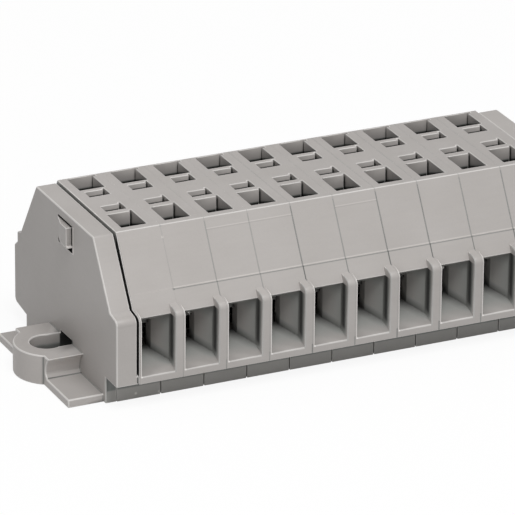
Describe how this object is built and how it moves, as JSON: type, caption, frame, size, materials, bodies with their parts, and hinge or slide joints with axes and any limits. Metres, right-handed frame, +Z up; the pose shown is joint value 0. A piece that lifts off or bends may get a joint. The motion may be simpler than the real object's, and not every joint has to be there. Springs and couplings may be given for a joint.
{
  "type": "terminal strip",
  "caption": "Row of side entry spring clamp terminals on a chassis strip, each pole with a wire entry front and back, closed at both ends by a plate with a slotted screw flange",
  "frame": {"origin": "middle of the row, on the surface that the strip stands on", "axes": "X along the row from the near end plate, Y from the front wire entries to the back ones, Z up"},
  "size_m": [0.0668, 0.0278, 0.018],
  "materials": {
    "housing_plastic": "moulded polyamide, fine satin",
    "plate_plastic": "moulded polyamide, fine satin",
    "bar_metal": "tin plated copper",
    "spring_steel": "stainless spring strip"
  },
  "bodies": {
    "root": {"near_end_plate": "plate_plastic", "far_end_plate": "plate_plastic", "housing_01": "housing_plastic", "current_bar_01": "bar_metal", "clamp_spring_front_01": "spring_steel", "clamp_spring_back_01": "spring_steel", "housing_02": "housing_plastic", "current_bar_02": "bar_metal", "clamp_spring_front_02": "spring_steel", "clamp_spring_back_02": "spring_steel", "housing_03": "housing_plastic", "current_bar_03": "bar_metal", "clamp_spring_front_03": "spring_steel", "clamp_spring_back_03": "spring_steel", "housing_04": "housing_plastic", "current_bar_04": "bar_metal", "clamp_spring_front_04": "spring_steel", "clamp_spring_back_04": "spring_steel", "housing_05": "housing_plastic", "current_bar_05": "bar_metal", "clamp_spring_front_05": "spring_steel", "clamp_spring_back_05": "spring_steel", "housing_06": "housing_plastic", "current_bar_06": "bar_metal", "clamp_spring_front_06": "spring_steel", "clamp_spring_back_06": "spring_steel", "housing_07": "housing_plastic", "current_bar_07": "bar_metal", "clamp_spring_front_07": "spring_steel", "clamp_spring_back_07": "spring_steel", "housing_08": "housing_plastic", "current_bar_08": "bar_metal", "clamp_spring_front_08": "spring_steel", "clamp_spring_back_08": "spring_steel", "housing_09": "housing_plastic", "current_bar_09": "bar_metal", "clamp_spring_front_09": "spring_steel", "clamp_spring_back_09": "spring_steel", "housing_10": "housing_plastic", "current_bar_10": "bar_metal", "clamp_spring_front_10": "spring_steel", "clamp_spring_back_10": "spring_steel"}
  },
  "joints": []
}
